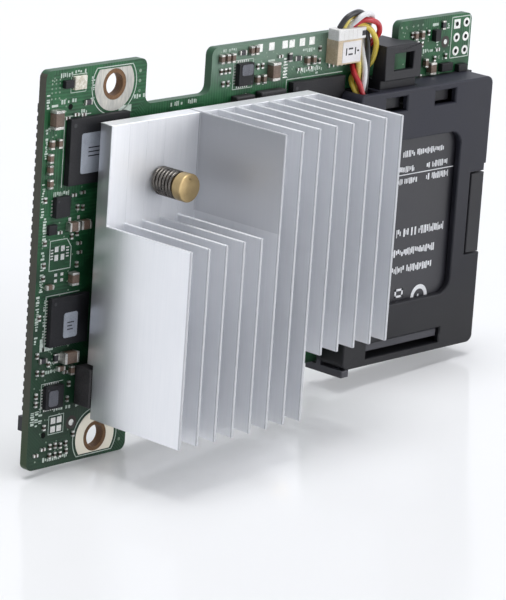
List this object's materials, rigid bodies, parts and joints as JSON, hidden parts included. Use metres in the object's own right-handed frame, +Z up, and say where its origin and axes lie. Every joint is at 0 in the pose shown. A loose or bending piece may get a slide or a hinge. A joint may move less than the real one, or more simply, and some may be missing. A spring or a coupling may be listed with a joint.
{
  "type": "raid controller card",
  "caption": "Compact server storage controller card: notched circuit board, finned aluminium heat sink on sprung pins, clipped-on battery holder and a short battery lead.",
  "frame": {"origin": "midway between the two screw holes, on the back face of the circuit board", "axes": "+X along the board from the connector end to the battery end, +Y out of the board's back, the way the mezzanine connector faces, +Z up the board's short side as pictured"},
  "size_m": [0.106, 0.0311, 0.0722],
  "materials": {
    "circuit_board": "green solder mask over glass laminate",
    "plated_copper": "tinned, satin",
    "aluminium_fins": "satin, extruded, cut faces bright",
    "brass_pins": "satin",
    "spring_steel": "dark wire",
    "black_plastic": "fine texture",
    "chip_plastic": "moulded, satin",
    "connector_plastic": "moulded",
    "contact_metal": "gold flash",
    "end_metal": "tinned",
    "ceramic": "fired ceramic, satin",
    "resistor_body": "printed film",
    "inductor_block": "pressed powder",
    "light_lens": "milky lens",
    "beige_plastic": "moulded nylon",
    "white_plastic": "moulded nylon",
    "white_label": "paper label",
    "dark_label": "printed film",
    "substrate": "solder mask",
    "lid_metal": "nickel plated",
    "thermal_compound": "soft pad",
    "battery_wrap": "shrink film",
    "wire_black": "soft, satin",
    "wire_white": "soft, satin",
    "wire_red": "soft, satin",
    "wire_yellow": "soft, satin"
  },
  "bodies": {
    "root": {"battery_cover": "black_plastic", "battery_guard_board": "substrate", "battery_pack": "battery_wrap", "battery_plug": "white_plastic", "battery_socket": "beige_plastic", "battery_socket_tails": "end_metal", "battery_sticker": "dark_label", "battery_tray": "black_plastic", "black_battery_wire": "wire_black", "bridge_chip": "chip_plastic", "chip_end_caps": "end_metal", "chip_labels": "white_label", "chip_resistors": "resistor_body", "circuit_board": "circuit_board", "diodes": "chip_plastic", "filter_inductors": "inductor_block", "heat_sink": "aluminium_fins", "heat_sink_pins": "brass_pins", "inner_yellow_battery_wire": "wire_yellow", "large_capacitors": "ceramic", "logic_chip": "chip_plastic", "lower_regulator_chip": "chip_plastic", "medium_capacitors": "ceramic", "memory_chips": "chip_plastic", "mezzanine_connector_contacts": "contact_metal", "mezzanine_connector_housing": "connector_plastic", "outer_yellow_battery_wire": "wire_yellow", "outline_chip": "chip_plastic", "pin_springs": "spring_steel", "power_inductor": "inductor_block", "processor_lid": "lid_metal", "processor_substrate": "substrate", "red_battery_wire": "wire_red", "screw_hole_rings": "plated_copper", "small_capacitors": "ceramic", "socket_sticker": "white_label", "status_light": "light_lens", "thermal_pad": "thermal_compound", "transistor_chip": "chip_plastic", "upper_regulator_chip": "chip_plastic", "white_battery_wire": "wire_white"}
  },
  "joints": []
}
